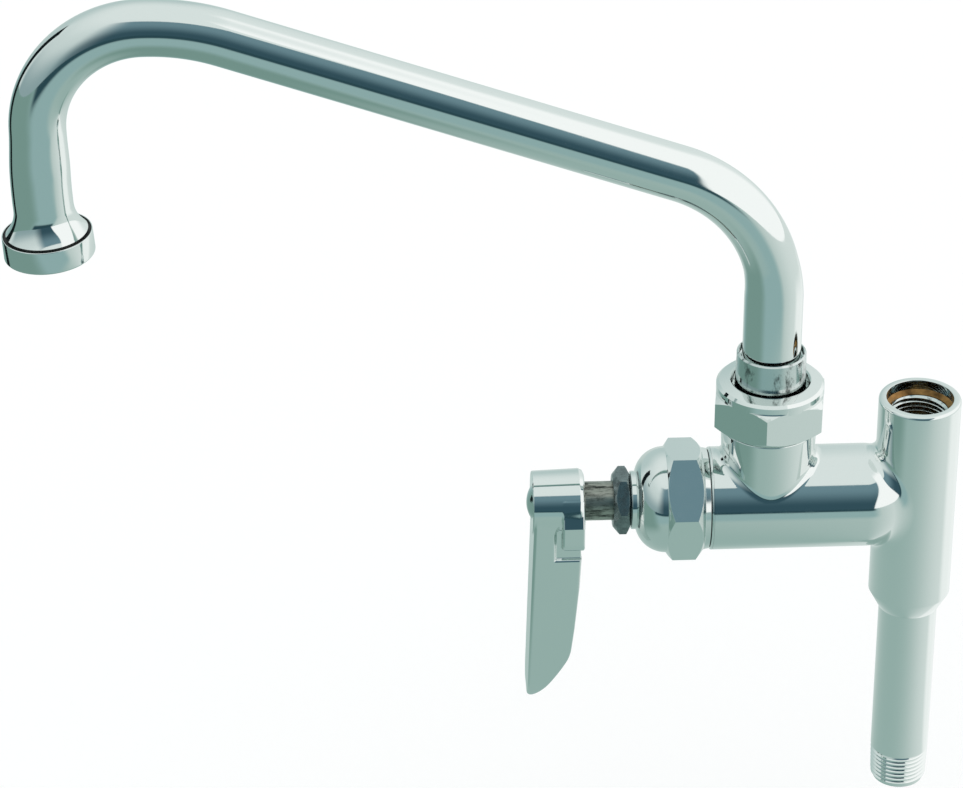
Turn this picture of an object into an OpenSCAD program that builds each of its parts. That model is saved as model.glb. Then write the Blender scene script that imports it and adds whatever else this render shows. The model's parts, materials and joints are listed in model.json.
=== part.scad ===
// Add-on faucet for a pre-rinse unit: a post with a pipe thread at each end, a side valve with a
// hanging lever handle, and a swing spout on a swivel nut. Millimetres. The origin is on the
// nipple's axis at the foot of its thread, +Z points up the post, and the barrel runs along -X.

/* [Post and barrel] */
// Height of the barrel's axis above the foot of the nipple's thread
axis_z = 99.2; // [95:0.1:110]
// Outside diameter of the post
post_d = 23.8; // [23:0.1:25]
// Reach of the post above and below the barrel's axis
post_half = 32.4; // [31:0.1:34]
// Outside diameter of the barrel
barrel_d = 30; // [29:0.1:31]
// Distance from the post's axis to the barrel's open end
barrel_end = 60.5; // [60:0.1:61]
// Distance from the post's axis to the riser's axis
riser_x = 43.5; // [43:0.1:44]
// Outside diameter of the outlet boss at its upper end
boss_d = 27.6; // [27:0.1:28]
// Outside diameter of the boss where it meets the barrel
boss_root_d = 26.2; // [26:0.1:27]

/* [Pipe threads] */
// Outside diameter of the 3/8 in pipe nipple
pipe_d = 17.15; // [17:0.01:17.3]
// Bore of the nipple
pipe_bore_d = 12.6; // [12:0.1:13]
// Diameter of the nipple's threaded end
thread_d = 16.7; // [16.4:0.1:16.8]
// Length of the nipple's threaded end
thread_len = 9.6; // [8:0.1:12]
// Diameter of the female pipe thread at the post's top
riser_thread_d = 16.8; // [16.4:0.1:17]
// Diameter of the counterbore above that thread
counterbore_d = 19.4; // [19:0.1:20]

/* [Bonnet and packing] */
// Bonnet hexagon, across flats
bonnet_flats = 31.2; // [31:0.1:31.6]
// Radius of the bonnet's domed shoulder
dome_r = 8.85; // [8.6:0.05:9]
// Outside diameter of the bonnet's neck
neck_d = 17; // [16.8:0.1:17.2]
// Packing nut, across flats
packing_flats = 17.3; // [17:0.1:17.6]

/* [Spindle and lever] */
// Diameter of the spindle where it shows
spindle_d = 11.4; // [11.2:0.1:11.5]
// Diameter of the spindle's thread
spindle_thread_d = 14; // [13.8:0.1:14.2]
// Hub diameter at the lever's outer end
hub_d = 18.4; // [18:0.1:18.8]
// Length of the lever below the spindle's axis
lever_len = 65; // [63:0.1:67]
// Width of the lever's blade below the hub, from the front face to the back
lever_w = 18.2; // [17.6:0.1:18.6]
// Width of the blade at its round lower end
lever_tip_w = 14.8; // [14:0.1:15.6]

/* [Swivel] */
// Swivel nut, across flats
swivel_flats = 30.6; // [30.4:0.1:30.8]
// Outside diameter of the swivel sleeve
sleeve_d = 19.9; // [19.8:0.05:20]
// Height of the sleeve's rim above the barrel's axis
sleeve_top = 49.1; // [47:0.1:51]

/* [Spout] */
// Outside diameter of the spout tube at its foot and its outlet
tube_d = 16.8; // [16:0.1:17]
// Outside diameter of the bent tube between them, drawn thinner by the bending
arm_d = 15.8; // [15.4:0.1:16]
// Wall thickness of the spout tube
tube_wall = 1.25; // [1:0.05:1.5]
// Rise of the straight arm above the horizontal
arm_rise = 19.5; // [18:0.5:21]
// Height above the barrel's axis at which the riser starts to bend
riser_bend_z = 67.4; // [66:0.1:70]
// Centre-line radius of the riser bend
riser_bend_r = 41.6; // [38:0.1:42]
// Centre-line radius from the arm to the top of the spout
crown_r = 62; // [58:1:75]
// Centre-line radius from the top down to the outlet
outlet_bend_r = 30; // [28:0.5:32]
// Lean of the outlet back towards the riser
outlet_lean = 4; // [3:0.5:5]
// Horizontal distance from the riser's axis to the outlet's axis
spout_reach = 203.2; // [180:0.1:230]
// Outside diameter of the outlet ring
outlet_d = 25.6; // [25:0.1:26]
// Height of the outlet ring
outlet_h = 6.5; // [6:0.1:8]
// Height of the outlet ring's lower face above the barrel's axis
outlet_z = 85; // [80:0.1:90]

/* [Hidden] */
$fn = 96;

fit = 0.05;                  // radial clearance of a turning or sliding fit
seat_gap = 0.05;             // axial clearance beside a part that turns
post_r = post_d / 2;
barrel_r = barrel_d / 2;
pipe_r = pipe_d / 2;
tube_r = tube_d / 2;
sleeve_r = sleeve_d / 2;
waterway_r = pipe_bore_d / 2;

// Stations along the barrel, as distances from the post's axis
barrel_dome_x = 11;          // centre of the barrel's round inner end
seat_x = 24;                 // shoulder that the valve seat screws against
seat_lip_x = 26.3;           // the seat's raised lip
washer_back_x = 29.3;
holder_back_x = 31.3;
gasket_x = barrel_end + 0.9;
bonnet_hex_x = 62.3;
bonnet_dome_x = 73.2;
neck_x = 83.1;
packing_nut_x = 83.3;
packing_nut_end = 88.3;
hub_x = 96.6;                // the hub's inner face
hub_end = 111.8;             // the hub's outer face

chamber_r = 10.4;            // water chamber inside the barrel
bonnet_shank_r = 12.35;
holder_r = 8.4;
seat_r = 7.2;                // thread of the removable seat
stub_r = 3.2;                // the washer holder's stub, on which the spindle turns

// Heights above the barrel's axis at the riser
boss_top = 24.9;
spigot_top = 31.5;           // the boss's threaded spigot, on which the sleeve's flange turns
spigot_r = 13.1;
flange_r = 12.5;
sleeve_foot = 15;
tube_foot = 36;              // lower end of the tube, inside the sleeve

// The spout's centre line: riser, bend, arm, crown, bend, taper, slow bend, outlet
arm_turn = 90 - arm_rise;
waist = (tube_d - arm_d) / 2;
crown_flat = 1;              // short straight runs between bends of different radius
lap = 0.4;                   // how far each straight run is let into the bends
riser_taper = 5;             // the riser narrows to the arm's diameter over this length
slow_bend_r = 150;           // the slow bend that leans the outlet
outlet_run = 15.7;           // straight run from the slow bend down to the ring's lower face
arm_len = (spout_reach - riser_bend_r * (1 - cos(arm_turn)) - crown_r * sin(arm_rise)
    - crown_flat - outlet_bend_r + slow_bend_r * (1 - cos(outlet_lean))
    + outlet_run * sin(outlet_lean)) / cos(arm_rise);
crown_z = riser_bend_z + riser_bend_r * sin(arm_turn) + arm_len * sin(arm_rise)
    + crown_r * (1 - cos(arm_rise));
drop_taper = crown_z - outlet_bend_r - crown_flat - slow_bend_r * sin(outlet_lean)
    - outlet_run * cos(outlet_lean) - outlet_z;
outlet_top = outlet_z + outlet_h;
flare_z = outlet_top + 0.8;  // lower edge of the flare, above a narrow seam
flare_h = 6.4;
flare_r = 11.4;
outlet_spigot_r = 10.85;

CHROME = [0.80, 0.84, 0.85];
WORN_CHROME = [0.62, 0.66, 0.66];
BRASS = [0.80, 0.64, 0.36];
BARE_METAL = [0.42, 0.43, 0.42];
DARK_METAL = [0.20, 0.22, 0.23];
FIBRE = [0.16, 0.18, 0.20];
RUBBER = [0.10, 0.10, 0.10];
PTFE = [0.92, 0.92, 0.88];

// ---- Shared shapes -------------------------------------------------------------------------

// A solid turned about the barrel's axis. Each point is [distance from the post, radius].
module turned_x(points) {
    translate([0, 0, axis_z]) rotate([0, -90, 0]) rotate_extrude()
        polygon([for (p = points) [p[1], p[0]]]);
}

// A solid turned about an upright axis at x. Each point is [height above the barrel's axis, radius].
module turned_z(x, points) {
    translate([x, 0, axis_z]) rotate_extrude()
        polygon([for (p = points) [p[1], p[0]]]);
}

// A plain rod along the barrel's axis, from a to b as distances from the post.
module rod_x(a, b, r) {
    turned_x([[a, 0], [a, r], [b, r], [b, 0]]);
}

module rod_z(x, a, b, r) {
    turned_z(x, [[a, 0], [a, r], [b, r], [b, 0]]);
}

// A flat ring about the barrel's axis.
module ring_x(a, b, inner, outer) {
    turned_x([[a, inner], [a, outer], [b, outer], [b, inner]]);
}

module ring_z(x, a, b, inner, outer) {
    turned_z(x, [[a, inner], [a, outer], [b, outer], [b, inner]]);
}

// A hexagonal bar along the barrel's axis, turned by clock about it.
module hex_x(a, b, flats, clock) {
    translate([0, 0, axis_z]) rotate([0, -90, 0]) translate([0, 0, a]) rotate([0, 0, clock])
        cylinder(h = b - a, r = flats / sqrt(3), $fn = 6);
}

// ---- Body ----------------------------------------------------------------------------------

module body_outside() {
    post_rim = 1;            // rounding of the post's top edge
    cone_foot = 5.7;         // the post tapers to the nipple over this length
    foot_r = pipe_r + 0.35;
    lead = 0.7;              // edge break of the barrel's open end
    turned_z(0, [[-post_half - cone_foot, 0], [-post_half - cone_foot, foot_r],
        [-post_half, post_r], [post_half - post_rim, post_r],
        [post_half - 0.3, post_r - 0.3], [post_half, post_r - post_rim], [post_half, 0]]);
    turned_x([[barrel_dome_x, 0], [barrel_dome_x, barrel_r], [barrel_end - lead, barrel_r],
        [barrel_end, barrel_r - lead], [barrel_end, 0]]);
    translate([-barrel_dome_x, 0, axis_z]) sphere(r = barrel_r);
    turned_z(-riser_x, [[0, 0], [0, boss_root_d / 2 - 0.4], [6, boss_root_d / 2],
        [boss_top - 0.5, boss_d / 2], [boss_top, boss_d / 2 - 0.5], [boss_top, spigot_r],
        [spigot_top - 0.6, spigot_r], [spigot_top, spigot_r - 0.6], [spigot_top, 0]]);
}

module body_waterways() {
    nipple_top = -20;        // depth to which the nipple enters, from the barrel's axis
    thread_top = post_half - 4.1;
    thread_foot = 13;
    // Post: nipple socket, waterway, female thread, counterbore
    turned_z(0, [[-post_half - 10, 0], [-post_half - 10, pipe_r + 0.02], [nipple_top, pipe_r + 0.02],
        [nipple_top, waterway_r], [thread_foot - 2, waterway_r], [thread_foot, riser_thread_d / 2],
        [thread_top, riser_thread_d / 2], [post_half - 2.9, counterbore_d / 2],
        [post_half + 1, counterbore_d / 2], [post_half + 1, 0]]);
    // Barrel: passage from the post, seat thread, chamber, bonnet thread
    turned_x([[0, 0], [0, 4.9], [seat_x - 6, 4.9], [seat_x - 6, seat_r + 0.02],
        [seat_x, seat_r + 0.02], [seat_x, chamber_r], [50, chamber_r], [50, bonnet_shank_r + 0.02],
        [barrel_end + 1, bonnet_shank_r + 0.02], [barrel_end + 1, 0]]);
    // Boss: waterway and the sleeve's bearing
    turned_z(-riser_x, [[0, 0], [0, 6.5], [sleeve_foot - 1, 6.5], [sleeve_foot - 1, sleeve_r + fit],
        [spigot_top + 1, sleeve_r + fit], [spigot_top + 1, 0]]);
}

module valve_body() {
    color(CHROME) difference() {
        body_outside();
        body_waterways();
    }
}

module inlet_nipple() {
    end_break = 0.8;         // chamfer below the foot of the thread
    color(CHROME) translate([0, 0, -axis_z]) turned_z(0, [[-end_break, waterway_r],
        [-end_break, thread_d / 2 - end_break], [0, thread_d / 2], [thread_len, thread_d / 2],
        [thread_len + 0.3, pipe_r], [axis_z - 20.6, pipe_r], [axis_z - 20, pipe_r - 0.6],
        [axis_z - 20, waterway_r]]);
}

// Removable seat, screwed against the body's shoulder and turned by a hexagonal key.
module valve_seat() {
    key_flats = 8.6;
    color(BRASS) difference() {
        turned_x([[seat_x - 5.6, 0], [seat_x - 5.6, seat_r - 0.4], [seat_x - 5.2, seat_r],
            [seat_x, seat_r], [seat_x, 8.8], [seat_x + 1.3, 8.8], [seat_x + 1.3, 7.1],
            [seat_lip_x, 6.7], [seat_lip_x, 0]]);
        hex_x(seat_x - 7, seat_lip_x + 1, key_flats, 0);
        // Countersunk mouth inside the raised lip
        turned_x([[seat_lip_x - 0.8, 0], [seat_lip_x - 0.8, 4.6], [seat_lip_x + 0.2, 6.2],
            [seat_lip_x + 0.2, 0]]);
    }
}

// ---- Bonnet and packing --------------------------------------------------------------------

// Hexagon with a washer face, domed shoulder, neck and threaded shank, in one piece.
module bonnet() {
    hex_corner = bonnet_flats / sqrt(3);
    hex_clock = -20.1;       // how the hexagon sits when tightened
    dome_ring_r = 6.6;
    box_r = 7.4;             // packing box
    color(CHROME) difference() {
        union() {
            intersection() {
                hex_x(gasket_x - 1, bonnet_dome_x + 1, bonnet_flats, hex_clock);
                turned_x([[gasket_x, 0], [gasket_x, 14.6], [bonnet_hex_x, 14.9],
                    [65, hex_corner + 0.4], [71.1, hex_corner + 0.4],
                    [bonnet_dome_x, dome_ring_r + dome_r + 0.1], [bonnet_dome_x, 0]]);
            }
            translate([0, 0, axis_z]) rotate([0, -90, 0]) rotate_extrude() intersection() {
                union() {
                    translate([dome_ring_r, bonnet_dome_x - 0.2]) circle(r = dome_r);
                    translate([0, bonnet_dome_x - 0.2]) square([dome_ring_r, dome_r]);
                }
                translate([0, bonnet_dome_x - 0.2]) square([barrel_r + 2, dome_r + 1]);
            }
            turned_x([[bonnet_dome_x, 0], [bonnet_dome_x, neck_d / 2], [neck_x - 0.3, neck_d / 2],
                [neck_x, neck_d / 2 - 0.3], [neck_x, 0]]);
            turned_x([[50.5, 0], [50.5, bonnet_shank_r - 0.8], [51.3, bonnet_shank_r],
                [gasket_x + 0.5, bonnet_shank_r], [gasket_x + 0.5, 0]]);
        }
        rod_x(50, 70, spindle_thread_d / 2 + fit);
        rod_x(69, 73, spindle_d / 2 + fit);
        rod_x(72, 84, box_r);
    }
}

module bonnet_gasket() {
    color(FIBRE) ring_x(barrel_end, gasket_x, bonnet_shank_r + 0.05, 14.2);
}

module packing_washer() {
    color(BRASS) ring_x(72, 73, spindle_d / 2 + 0.1, 7.35);
}

// Three rings of packing, each with a rounded edge.
module stem_packing() {
    rings = 3;
    pitch = 4 / rings;
    color(FIBRE) for (i = [0 : rings - 1])
        turned_x([[73 + i * pitch, spindle_d / 2 + fit], [73 + i * pitch, 7.1],
            [73.25 + i * pitch, 7.35], [72.75 + (i + 1) * pitch, 7.35], [73 + (i + 1) * pitch, 7.1],
            [73 + (i + 1) * pitch, spindle_d / 2 + fit]]);
}

module packing_gland() {
    color(BRASS) turned_x([[77, spindle_d / 2 + 0.1], [77, 7.35], [78.5, 7.35],
        [78.5, spindle_d / 2 + 0.1]]);
}

module packing_nut() {
    corner = packing_flats / sqrt(3);
    nut_clock = -25.6;
    color(DARK_METAL) difference() {
        union() {
            intersection() {
                hex_x(packing_nut_x - 1, packing_nut_end + 1, packing_flats, nut_clock);
                turned_x([[packing_nut_x, 0], [packing_nut_x, 7.8], [84.7, corner + 0.4],
                    [86.1, corner + 0.4], [packing_nut_end, 7.7], [packing_nut_end, 0]]);
            }
            turned_x([[78.5, 0], [78.5, 6.8], [79, 7.3], [packing_nut_x + 0.5, 7.3],
                [packing_nut_x + 0.5, 0]]);
        }
        rod_x(78, 89, spindle_d / 2 + 0.1);
    }
}

// ---- Swivel --------------------------------------------------------------------------------

module swivel_nut() {
    corner = swivel_flats / sqrt(3);
    nut_clock = 21.6;
    lip = 35;                // underside of the nut's inner lip
    mouth_r = 11.2;          // opening round the sleeve, which shows as a dark gap
    color(CHROME) difference() {
        union() {
            intersection() {
                translate([-riser_x, 0, axis_z + 25]) rotate([0, 0, nut_clock])
                    cylinder(h = 14, r = corner, $fn = 6);
                turned_z(-riser_x, [[26.2, 0], [26.2, 15.4], [28.3, corner + 0.4],
                    [35.2, corner + 0.4], [36.6, 15.9], [36.6, 0]]);
            }
            turned_z(-riser_x, [[36, 0], [36, 15.5], [38.5, 15.5], [39.3, 14.7], [39.9, 12],
                [39.9, 0]]);
        }
        turned_z(-riser_x, [[26, 0], [26, spigot_r + 0.02], [spigot_top, spigot_r + 0.02],
            [spigot_top, flange_r + 0.5], [lip, flange_r + 0.5], [lip, mouth_r],
            [39.5, mouth_r], [39.95, mouth_r + 0.4], [39.95, 0]]);
    }
}

module swivel_washer() {
    color(PTFE) ring_z(-riser_x, 34.4, 35, 11.3, flange_r + 0.45);
}

// ---- Valve spindle, which travels as it turns ----------------------------------------------

// Cup that carries the seat washer without turning, on a stub inside the spindle.
module washer_holder() {
    groove_a = 34.4;
    groove_b = 35.8;
    color(BRASS) difference() {
        turned_x([[27.8, 0], [27.8, holder_r], [holder_back_x - 0.5, holder_r],
            [holder_back_x, holder_r - 0.5], [holder_back_x, stub_r], [groove_a, stub_r],
            [groove_a, stub_r - 0.6], [groove_b, stub_r - 0.6], [groove_b, stub_r],
            [38, stub_r], [38, 0]]);
        rod_x(27, washer_back_x, holder_r - 0.5);
        rod_x(27, 37, 1.5);
    }
}

module seat_washer() {
    color(RUBBER) turned_x([[seat_lip_x + seat_gap, 1.75], [seat_lip_x + seat_gap, 7.5],
        [seat_lip_x + 0.4, 7.85], [washer_back_x, 7.85], [washer_back_x, 1.75]]);
}

module washer_screw() {
    head_x = seat_lip_x - 1.6;
    color(BRASS) difference() {
        turned_x([[head_x, 0], [head_x, 2.6], [head_x + 0.7, 3.4],
            [seat_lip_x + seat_gap, 3.4], [seat_lip_x + seat_gap, 1.48], [36, 1.48], [36, 0]]);
        translate([-head_x - 0.2, -3.6, axis_z - 0.4]) cube([1.2, 7.2, 0.8]);
    }
}

module spindle() {
    socket_r = stub_r + fit;
    square = 7.6;            // square end that drives the lever
    color(BARE_METAL) difference() {
        union() {
            turned_x([[holder_back_x + 0.1, 0], [holder_back_x + 0.1, 5.6], [31.9, 6.1],
                [40, 6.1], [41, 5], [55, 5], [56.5, spindle_thread_d / 2 - 0.2],
                [57, spindle_thread_d / 2], [66.7, spindle_thread_d / 2],
                [67.2, spindle_d / 2], [hub_x, spindle_d / 2], [hub_x, 0]]);
            translate([-hub_x - 9.4, -square / 2, axis_z - square / 2])
                cube([10, square, square]);
        }
        rod_x(holder_back_x, 39, socket_r);
        rod_x(34.6, 35.6, 4.3);
        rod_x(hub_x - 2, hub_x + 10, 2.1);
    }
}

// Spring ring inside the spindle that holds the washer holder's stub.
module holder_clip() {
    color(BARE_METAL) difference() {
        ring_x(34.65, 35.55, stub_r - 0.5, 4.25);
        translate([-36, -1, axis_z]) cube([2, 2, 6]);
    }
}

// Points of an arc in the X-Z plane of the lever, measured from the spindle's axis.
function arc(x, z, r, from, to, steps) =
    [for (i = [0 : steps]) let (a = from + (to - from) * i / steps) [x + r * cos(a), z + r * sin(a)]];

// Front outline of the blade: a straight outer edge, a narrow tip, a long curved cut up to a
// rounded corner, a tapering inner edge, and a notch that clears the lug.
module blade_outline() {
    outer = -hub_end;
    foot = -lever_len;
    tip_r = 1.3;
    polygon(concat(
        [[outer + 0.5, 2], [outer, -16]],
        arc(outer, foot + tip_r, tip_r, 180, 319, 8),
        arc(outer - 42.44, foot + 42, 60, -41, -29, 6),
        arc(outer - 2.2, foot + 19.7, 14, -25, -7, 4),
        [[outer + 12.55, -39.5], [outer + 13.8, -25], [outer + 14.3, -14.7],
        [outer + 6.7, -14.7], [outer + 6.7, -6], [outer + 8.2, -1], [outer + 8.2, 2]]));
}

// Side outline of the blade: two facets that meet below the hub, then a taper to a round end.
module blade_side() {
    half = lever_w / 2;
    end_r = lever_tip_w / 2;
    crease_z = -3.6;
    end_z = -lever_len + 6.2;
    // Where the flat faces run into the round end, a hair inside it
    touch = atan2(crease_z - end_z, half) - acos(end_r / norm([half, crease_z - end_z]));
    across = (end_r - 0.02) * cos(touch);
    touch_z = end_z + (end_r - 0.02) * sin(touch);
    polygon([[-8.5, 3], [-half, crease_z], [-across, touch_z], [across, touch_z],
        [half, crease_z], [8.5, 3]]);
    translate([0, end_z]) circle(r = end_r);
}

// Outline of the lug that hangs from the hub: it widens downwards and ends in rounded corners.
module lug_outline() {
    half = 11;
    corner_r = 3;
    foot_z = -11.4;
    polygon([[8.1, 4.6], [half, -2.9], [half, foot_z + corner_r], [-half, foot_z + corner_r],
        [-half, -2.9], [-8.1, 4.6]]);
    translate([-half + corner_r, foot_z]) square([2 * (half - corner_r), corner_r + 1]);
    for (side = [-1, 1])
        translate([side * (half - corner_r), foot_z + corner_r]) circle(r = corner_r);
}

module lever_handle() {
    lug_x = 103.2;           // outer face of the lug
    color(CHROME) difference() {
        union() {
            // Hub, fuller towards the spindle
            turned_x([[hub_x, 0], [hub_x, 8], [hub_x + 0.5, 9.1], [hub_x + 1.6, 9.65],
                [hub_end - 0.4, hub_d / 2], [hub_end, hub_d / 2 - 0.4], [hub_end, 0]]);
            translate([-lug_x, 0, axis_z]) rotate([90, 0, 90])
                linear_extrude(lug_x - hub_x - 0.2) lug_outline();
            intersection() {
                translate([0, 12, axis_z]) rotate([90, 0, 0]) linear_extrude(24) blade_outline();
                translate([-hub_end - 3, 0, axis_z]) rotate([90, 0, 90]) linear_extrude(24)
                    blade_side();
            }
            // Floor of the groove that runs beside and below the lug
            translate([-106, -7.7, axis_z - 15.5]) cube([8.3, 15.4, 17.5]);
        }
        translate([-hub_x - 9.6, -3.85, axis_z - 3.85]) cube([10, 7.7, 7.7]);
        rod_x(hub_x, hub_end + 1, 2.3);
        rod_x(107.4, hub_end + 1, 4.2);
        rod_x(109.8, hub_end + 1, 5.02);
    }
}

module handle_screw() {
    color(BARE_METAL) difference() {
        turned_x([[99, 0], [99, 2.05], [107.4, 2.05], [107.4, 4], [109, 4], [109.7, 3.3], [109.7, 0]]);
        translate([-110, -4.2, axis_z - 0.5]) cube([1.3, 8.4, 1]);
    }
}

module index_button() {
    cap_r = 8.9;             // radius of the button's domed face
    rise = 1.5;              // how far the dome stands out of the hub
    color(CHROME) union() {
        rod_x(109.8, hub_end, 5);
        intersection() {
            rod_x(hub_end - 0.5, hub_end + 3, 5);
            translate([-hub_end - rise + cap_r, 0, axis_z]) sphere(r = cap_r);
        }
    }
}

// ---- Spout ---------------------------------------------------------------------------------

// One bend of a round bar that starts at the origin going up and turns towards -X.
module bend(r, turn, bar_r) {
    rotate([90, 0, 0]) translate([-r, 0, 0]) rotate_extrude(angle = turn)
        translate([r, 0]) circle(r = bar_r);
}

// A straight run of the spout, let into the bends at its ends and a hair thinner than they are.
module run(length, bar_r) {
    translate([0, 0, -lap]) cylinder(h = length + 2 * lap, r = bar_r - 0.01);
}

// What follows at the upper end of such a bend.
module after_bend(r, turn) {
    translate([-r * (1 - cos(turn)), 0, r * sin(turn)]) rotate([0, -turn, 0]) children();
}

// The spout's path as a round bar from the sleeve to the outlet, drawn run by run. It narrows
// above the riser and widens again on its way down to the outlet.
module spout_bar(bar_r, foot, drop_end) {
    thin = bar_r - waist;
    ease = 0.01;             // the straight runs are this much thinner than the bends
    turned_z(-riser_x, [[foot, 0], [foot, bar_r - ease], [riser_bend_z - riser_taper, bar_r - ease],
        [riser_bend_z, thin - ease], [riser_bend_z + lap, thin - ease], [riser_bend_z + lap, 0]]);
    translate([-riser_x, 0, axis_z + riser_bend_z]) {
        bend(riser_bend_r, arm_turn, thin);
        after_bend(riser_bend_r, arm_turn) {
            run(arm_len, thin);
            translate([0, 0, arm_len]) {
                bend(crown_r, arm_rise, thin);
                after_bend(crown_r, arm_rise) {
                    run(crown_flat, thin);
                    translate([0, 0, crown_flat]) {
                        bend(outlet_bend_r, 90, thin);
                        after_bend(outlet_bend_r, 90) drop(bar_r, thin, ease, drop_end);
                    }
                }
            }
        }
    }
}

// The spout's last part: a widening taper, the slow bend and the run into the flare.
module drop(bar_r, thin, ease, drop_end) {
    slow_start = crown_flat + drop_taper;
    rotate_extrude() polygon([[0, -lap], [thin - ease, -lap], [thin - ease, crown_flat],
        [bar_r - ease, slow_start], [bar_r - ease, slow_start + lap], [0, slow_start + lap]]);
    translate([0, 0, slow_start]) {
        bend(slow_bend_r, outlet_lean, bar_r);
        after_bend(slow_bend_r, outlet_lean) run(outlet_run - (drop_end - outlet_z), bar_r);
    }
}

// Leans the outlet's pieces, which are drawn upright, about the middle of the ring's lower face.
module leaning() {
    translate([-riser_x - spout_reach, 0, axis_z + outlet_z]) rotate([0, -outlet_lean, 0])
        translate([riser_x + spout_reach, 0, -axis_z - outlet_z]) children();
}

// Tube with a hollow-cheeked flare above a short threaded spigot at the outlet.
module spout_tube() {
    $fn = 60;
    drop_end = flare_z + flare_h;
    bore_r = tube_r - tube_wall;
    flare_curve = flare_h + 1.6;
    color(CHROME) difference() {
        union() {
            spout_bar(tube_r, tube_foot, drop_end);
            leaning() translate([-riser_x - spout_reach, 0, axis_z]) rotate_extrude() difference() {
                translate([0, outlet_top - 3.1]) square([flare_r, drop_end - outlet_top + 3.1]);
                translate([tube_r + flare_curve, drop_end]) circle(r = flare_curve);
                translate([outlet_spigot_r, outlet_top - 4]) square([2, 4]);
                translate([outlet_spigot_r + 0.25, outlet_top - 1]) square([2, 1.8]);
            }
        }
        spout_bar(bore_r, tube_foot - 1, drop_end);
        leaning() turned_z(-riser_x - spout_reach, [[outlet_top - 5, 0], [outlet_top - 5, 9.6],
            [outlet_top - 1, 9.6], [drop_end, bore_r], [drop_end, 0]]);
    }
}

// Sleeve brazed to the tube's foot, with a flange held down by the swivel nut.
module swivel_sleeve() {
    grooves = [20, 26];      // lower edges of the o-ring grooves
    color(WORN_CHROME) difference() {
        turned_z(-riser_x, [[sleeve_foot, 6.4], [sleeve_foot, sleeve_r - 0.8],
            [sleeve_foot + 0.8, sleeve_r], [spigot_top + seat_gap, sleeve_r],
            [spigot_top + seat_gap, flange_r], [34.35, flange_r], [34.35, sleeve_r + 0.4],
            [sleeve_top - 3, sleeve_r + 0.05], [sleeve_top - 0.4, sleeve_r], [sleeve_top, sleeve_r - 0.4], [sleeve_top, 9.3],
            [sleeve_top - 2.1, 9.3], [sleeve_top - 2.6, tube_r + 0.02],
            [tube_foot, tube_r + 0.02], [tube_foot, 6.4]]);
        for (z = grooves)
            ring_z(-riser_x, z, z + 2.4, 8.1, sleeve_r + 1);
    }
}

module spout_o_rings() {
    cord_r = 0.88;
    color(RUBBER) for (z = [20, 26])
        translate([-riser_x, 0, axis_z + z + 1.2]) rotate_extrude()
            translate([8.1 + cord_r, 0]) circle(r = cord_r);
}

module outlet_ring() {
    lip_r = 9.4;
    edge = 0.4;
    color(CHROME) leaning() turned_z(-riser_x - spout_reach, [[outlet_z, lip_r],
        [outlet_z, outlet_d / 2 - 0.6], [outlet_z + 0.6, outlet_d / 2 - 0.1],
        [outlet_top - edge, outlet_d / 2], [outlet_top, outlet_d / 2 - edge],
        [outlet_top, outlet_spigot_r + 0.3], [outlet_top - 1.2, outlet_spigot_r + 0.02],
        [outlet_z + 2, outlet_spigot_r + 0.02], [outlet_z + 2, lip_r]]);
}

// Perforated disc that evens out the stream.
module flow_straightener() {
    hole_r = 0.75;
    color(BARE_METAL) leaning() translate([-riser_x - spout_reach, 0, axis_z + outlet_z + 2.6])
        difference() {
        cylinder(h = 0.8, r = outlet_spigot_r - 0.05);
        translate([0, 0, -1]) cylinder(h = 3, r = hole_r);
        for (ring = [1 : 3])
            for (i = [0 : 6 * ring - 1])
                rotate([0, 0, 360 * i / (6 * ring)]) translate([2.7 * ring, 0, -1])
                    cylinder(h = 3, r = hole_r);
    }
}

module outlet_gasket() {
    color(RUBBER) leaning() ring_z(-riser_x - spout_reach, outlet_z + 2, outlet_z + 2.6,
        9.5, outlet_spigot_r - 0.05);
}

valve_body();
inlet_nipple();
valve_seat();
bonnet();
bonnet_gasket();
packing_washer();
stem_packing();
packing_gland();
packing_nut();
swivel_nut();
swivel_washer();
washer_holder();
seat_washer();
washer_screw();
spindle();
holder_clip();
lever_handle();
handle_screw();
index_button();
spout_tube();
swivel_sleeve();
spout_o_rings();
outlet_ring();
flow_straightener();
outlet_gasket();
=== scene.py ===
import json
import math

import bpy
import numpy as np
from mathutils import Matrix, Vector


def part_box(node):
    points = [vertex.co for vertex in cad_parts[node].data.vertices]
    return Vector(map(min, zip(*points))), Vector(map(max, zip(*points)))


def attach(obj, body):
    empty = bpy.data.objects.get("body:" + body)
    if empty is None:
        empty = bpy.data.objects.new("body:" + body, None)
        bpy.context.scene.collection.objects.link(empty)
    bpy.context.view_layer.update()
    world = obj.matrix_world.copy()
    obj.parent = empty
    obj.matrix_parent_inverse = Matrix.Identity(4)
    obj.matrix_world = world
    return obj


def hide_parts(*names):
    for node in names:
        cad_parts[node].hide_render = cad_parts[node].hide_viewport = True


bl_info = {
    "name": "Pre-rinse add-on faucet",
    "version": (1, 0, 0),
    "blender": (4, 5, 0),
    "location": "3D View > Sidebar > Faucet",
    "description": "Chrome add-on faucet with a lever valve and a swing spout",
    "category": "Object",
}

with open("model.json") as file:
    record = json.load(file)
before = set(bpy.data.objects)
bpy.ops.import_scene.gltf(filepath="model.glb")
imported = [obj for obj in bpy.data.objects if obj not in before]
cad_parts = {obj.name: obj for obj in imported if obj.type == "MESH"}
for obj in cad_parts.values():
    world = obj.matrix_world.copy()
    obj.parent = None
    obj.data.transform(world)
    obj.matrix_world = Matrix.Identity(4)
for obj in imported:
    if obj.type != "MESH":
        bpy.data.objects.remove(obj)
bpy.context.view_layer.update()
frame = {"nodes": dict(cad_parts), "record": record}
MM = 0.001

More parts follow.
